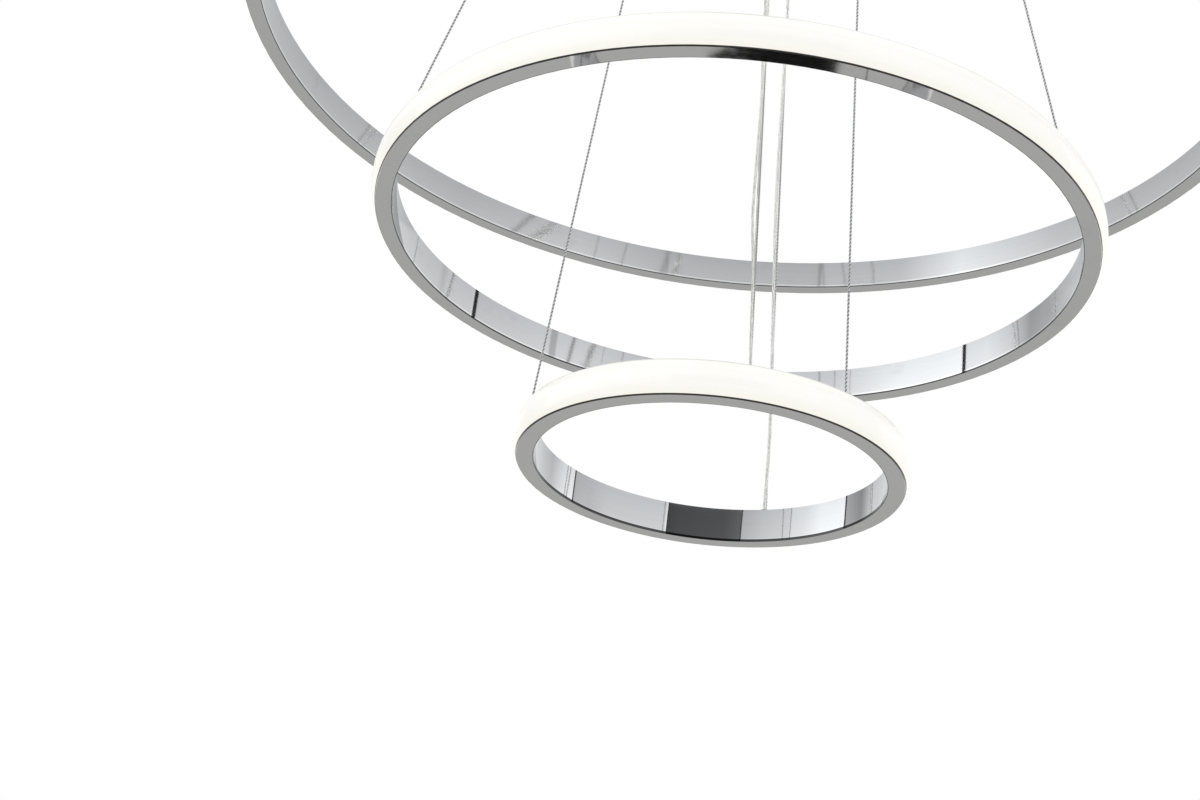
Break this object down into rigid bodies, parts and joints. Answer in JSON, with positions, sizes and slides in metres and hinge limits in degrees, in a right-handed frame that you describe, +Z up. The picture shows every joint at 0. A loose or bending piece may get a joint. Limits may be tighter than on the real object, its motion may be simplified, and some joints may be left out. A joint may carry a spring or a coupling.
{
  "type": "led ring chandelier",
  "caption": "Pendant chandelier of concentric chrome LED rings at stepped heights, hung level on steel wires from grippers under a round ceiling canopy.",
  "frame": {"origin": "Middle of the mounting bracket's top face, flat on the ceiling and on the rings' common axis.", "axes": "+Z up to the ceiling; +X along the bracket strap; the far wire of each ring, with its power cable, lies towards +Y, and the usual view is from -Y and below."},
  "size_m": [0.607, 0.607, 0.86],
  "materials": {
    "zinc_steel": "bright zinc-plated sheet steel",
    "polished_chrome": "mirror-polished chrome plate",
    "nickel_fittings": "polished nickel-plated fittings",
    "steel_hardware": "zinc-plated steel hardware",
    "brass_hardware": "plain brass screws",
    "white_housing": "white moulded plastic",
    "circuit_board": "green glass-fibre board with black components",
    "clear_sheath": "clear flexible sheath over thin tinned conductors",
    "stainless_wire": "twisted stainless steel wire rope",
    "opal_diffuser": "opal silicone diffuser, lit warm white",
    "led_strip": "white flexible strip with phosphor-coated chips"
  },
  "bodies": {
    "canopy": {"mounting_bracket": "zinc_steel", "canopy_cover": "polished_chrome", "side_screws": "nickel_fittings", "driver_screws": "steel_hardware", "earth_screw": "steel_hardware", "driver_case": "white_housing", "driver_lid": "white_housing", "driver_board": "circuit_board", "terminal_block": "white_housing", "terminal_screws": "brass_hardware", "cable_glands": "clear_sheath", "output_leads": "clear_sheath", "gripper_bodies": "nickel_fittings", "gripper_caps": "nickel_fittings", "gripper_nuts": "steel_hardware", "gripper_springs": "steel_hardware", "small_left_wire": "stainless_wire", "small_right_wire": "stainless_wire", "small_far_wire": "stainless_wire", "medium_left_wire": "stainless_wire", "medium_right_wire": "stainless_wire", "medium_far_wire": "stainless_wire", "large_left_wire": "stainless_wire", "large_right_wire": "stainless_wire", "large_far_wire": "stainless_wire", "small_power_cable": "clear_sheath", "medium_power_cable": "clear_sheath", "large_power_cable": "clear_sheath"},
    "small_hanger": {"small_far_stop": "stainless_wire"},
    "small_ring": {"small_frame": "polished_chrome", "small_diffuser": "opal_diffuser", "small_led_strip": "led_strip", "small_near_bushes": "nickel_fittings", "small_far_bush": "nickel_fittings", "small_near_stops": "stainless_wire"},
    "medium_hanger": {"medium_far_stop": "stainless_wire"},
    "medium_ring": {"medium_frame": "polished_chrome", "medium_diffuser": "opal_diffuser", "medium_led_strip": "led_strip", "medium_near_bushes": "nickel_fittings", "medium_far_bush": "nickel_fittings", "medium_near_stops": "stainless_wire"},
    "large_hanger": {"large_far_stop": "stainless_wire"},
    "large_ring": {"large_frame": "polished_chrome", "large_diffuser": "opal_diffuser", "large_led_strip": "led_strip", "large_near_bushes": "nickel_fittings", "large_far_bush": "nickel_fittings", "large_near_stops": "stainless_wire"},
    "small_left_release": {"small_left_plunger": "nickel_fittings"},
    "small_right_release": {"small_right_plunger": "nickel_fittings"},
    "small_far_release": {"small_far_plunger": "nickel_fittings"},
    "medium_left_release": {"medium_left_plunger": "nickel_fittings"},
    "medium_right_release": {"medium_right_plunger": "nickel_fittings"},
    "medium_far_release": {"medium_far_plunger": "nickel_fittings"},
    "large_left_release": {"large_left_plunger": "nickel_fittings"},
    "large_right_release": {"large_right_plunger": "nickel_fittings"},
    "large_far_release": {"large_far_plunger": "nickel_fittings"}
  },
  "joints": [
    {"name": "small_ring_height", "type": "slide", "parent": "canopy", "child": "small_hanger", "axis": [0, 0, 1], "range_m": [0, 0.25], "deforming": ["small_left_wire", "small_right_wire", "small_far_wire", "small_power_cable"]},
    {"name": "small_ring_tilt", "type": "hinge", "parent": "small_hanger", "child": "small_ring", "pos_m": [0.04051, 0.09099, -0.84308], "axis": [-0.9135, 0.4067, 0], "range_deg": [-8, 8], "deforming": ["small_left_wire", "small_right_wire"]},
    {"name": "medium_ring_height", "type": "slide", "parent": "canopy", "child": "medium_hanger", "axis": [0, 0, 1], "range_m": [0, 0.25], "deforming": ["medium_left_wire", "medium_right_wire", "medium_far_wire", "medium_power_cable"]},
    {"name": "medium_ring_tilt", "type": "hinge", "parent": "medium_hanger", "child": "medium_ring", "pos_m": [0.03245, 0.1939, -0.70808], "axis": [-0.9863, 0.165, 0], "range_deg": [-8, 8], "deforming": ["medium_left_wire", "medium_right_wire"]},
    {"name": "large_ring_height", "type": "slide", "parent": "canopy", "child": "large_hanger", "axis": [0, 0, 1], "range_m": [0, 0.25], "deforming": ["large_left_wire", "large_right_wire", "large_far_wire", "large_power_cable"]},
    {"name": "large_ring_tilt", "type": "hinge", "parent": "large_hanger", "child": "large_ring", "pos_m": [0.03615, 0.29439, -0.57308], "axis": [-0.9925, 0.1219, 0], "range_deg": [-8, 8], "deforming": ["large_left_wire", "large_right_wire"]},
    {"name": "small_left_plunger_press", "type": "slide", "parent": "canopy", "child": "small_left_release", "axis": [0, 0, 1], "range_m": [0, 0.0015], "stiffness_N_per_m": 400, "springref_m": -0.001, "deforming": ["gripper_springs"]},
    {"name": "small_right_plunger_press", "type": "slide", "parent": "canopy", "child": "small_right_release", "axis": [0, 0, 1], "range_m": [0, 0.0015], "stiffness_N_per_m": 400, "springref_m": -0.001, "deforming": ["gripper_springs"]},
    {"name": "small_far_plunger_press", "type": "slide", "parent": "canopy", "child": "small_far_release", "axis": [0, 0, 1], "range_m": [0, 0.0015], "stiffness_N_per_m": 400, "springref_m": -0.001, "deforming": ["gripper_springs"]},
    {"name": "medium_left_plunger_press", "type": "slide", "parent": "canopy", "child": "medium_left_release", "axis": [0, 0, 1], "range_m": [0, 0.0015], "stiffness_N_per_m": 400, "springref_m": -0.001, "deforming": ["gripper_springs"]},
    {"name": "medium_right_plunger_press", "type": "slide", "parent": "canopy", "child": "medium_right_release", "axis": [0, 0, 1], "range_m": [0, 0.0015], "stiffness_N_per_m": 400, "springref_m": -0.001, "deforming": ["gripper_springs"]},
    {"name": "medium_far_plunger_press", "type": "slide", "parent": "canopy", "child": "medium_far_release", "axis": [0, 0, 1], "range_m": [0, 0.0015], "stiffness_N_per_m": 400, "springref_m": -0.001, "deforming": ["gripper_springs"]},
    {"name": "large_left_plunger_press", "type": "slide", "parent": "canopy", "child": "large_left_release", "axis": [0, 0, 1], "range_m": [0, 0.0015], "stiffness_N_per_m": 400, "springref_m": -0.001, "deforming": ["gripper_springs"]},
    {"name": "large_right_plunger_press", "type": "slide", "parent": "canopy", "child": "large_right_release", "axis": [0, 0, 1], "range_m": [0, 0.0015], "stiffness_N_per_m": 400, "springref_m": -0.001, "deforming": ["gripper_springs"]},
    {"name": "large_far_plunger_press", "type": "slide", "parent": "canopy", "child": "large_far_release", "axis": [0, 0, 1], "range_m": [0, 0.0015], "stiffness_N_per_m": 400, "springref_m": -0.001, "deforming": ["gripper_springs"]}
  ]
}
